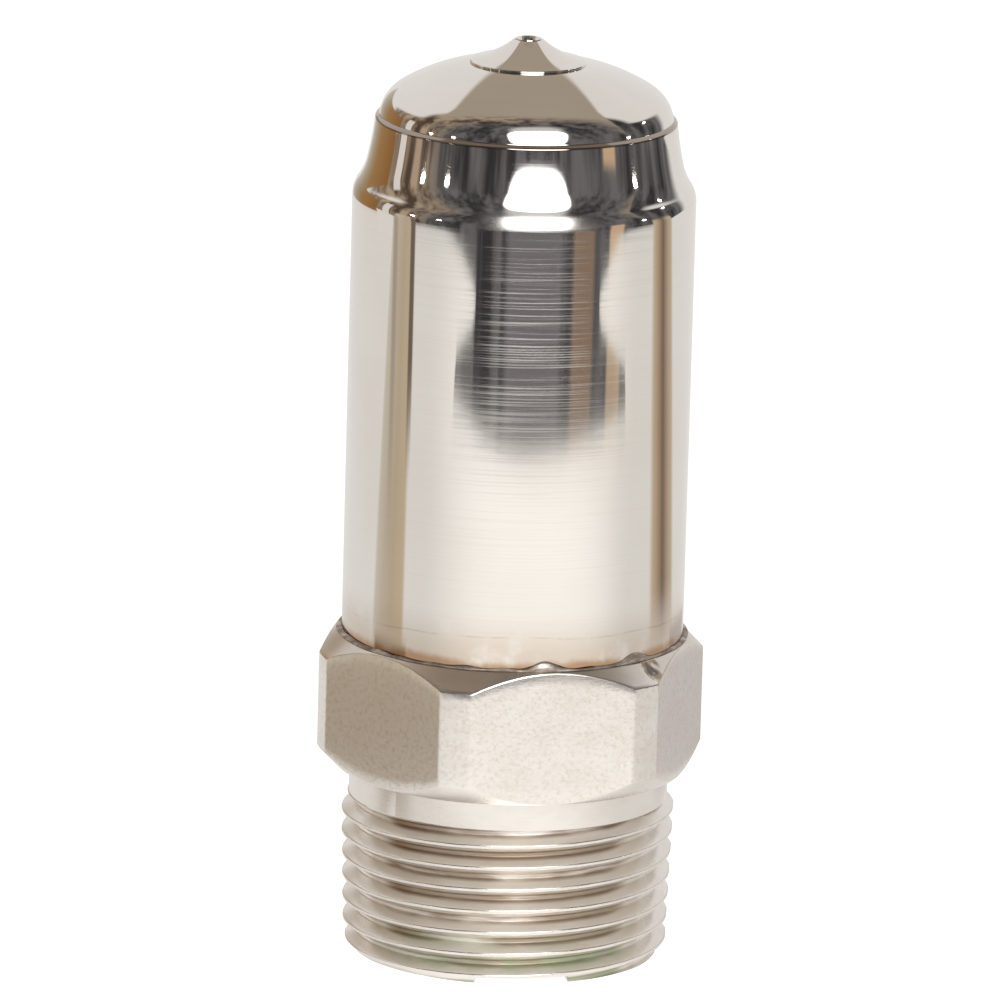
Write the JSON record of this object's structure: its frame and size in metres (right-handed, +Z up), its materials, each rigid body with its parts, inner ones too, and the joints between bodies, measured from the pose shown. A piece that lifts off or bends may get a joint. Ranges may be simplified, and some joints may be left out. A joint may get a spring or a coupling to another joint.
{
  "type": "automatic air vent",
  "caption": "Thermostatic float air vent for a steam main: polished domed shell on a hexagon base, threaded inside and out, with a float that closes the top port.",
  "frame": {"origin": "centre of the bottom rim, on the axis of both pipe threads", "axes": "+Z up along the axis towards the vent port; a flat of the hexagon faces -Y"},
  "size_m": [0.0316, 0.0286, 0.0755],
  "materials": {
    "polished_nickel": "drawn brass, nickel plated and polished to a mirror",
    "machined_nickel": "machined brass with a satin nickel plate",
    "solder": "dull grey soft solder with a rough skin",
    "brass": "bare stamped or turned brass",
    "phosphor_bronze": "thin rolled bronze",
    "stainless": "ground stainless steel"
  },
  "bodies": {
    "vent_body": {"hex_base": "machined_nickel", "outer_shell": "polished_nickel", "joint_solder": "solder", "vent_port": "polished_nickel", "port_solder": "solder", "seat_insert": "stainless", "pin_guide": "brass", "float_support": "brass", "support_bush": "brass", "support_snap_ring": "stainless"},
    "float": {"float_can": "brass", "fill_plug": "solder", "float_end_ring": "brass", "float_seam_solder": "solder", "float_diaphragm": "phosphor_bronze", "pin_boss": "brass", "valve_pin": "stainless", "float_guide_ring": "brass"},
    "foot": {"diaphragm_foot": "brass", "foot_pin": "stainless"}
  },
  "joints": [
    {"name": "float_lift", "type": "slide", "parent": "vent_body", "child": "float", "axis": [0, 0, 1], "range_m": [0, 0.0015]},
    {"name": "diaphragm_stroke", "type": "slide", "parent": "float", "child": "foot", "axis": [0, 0, -1], "range_m": [0, 0.0015], "deforming": ["float_diaphragm"]}
  ],
  "couplings": [
    {"joint": "diaphragm_stroke", "follows": "float_lift", "ratio": 1}
  ]
}
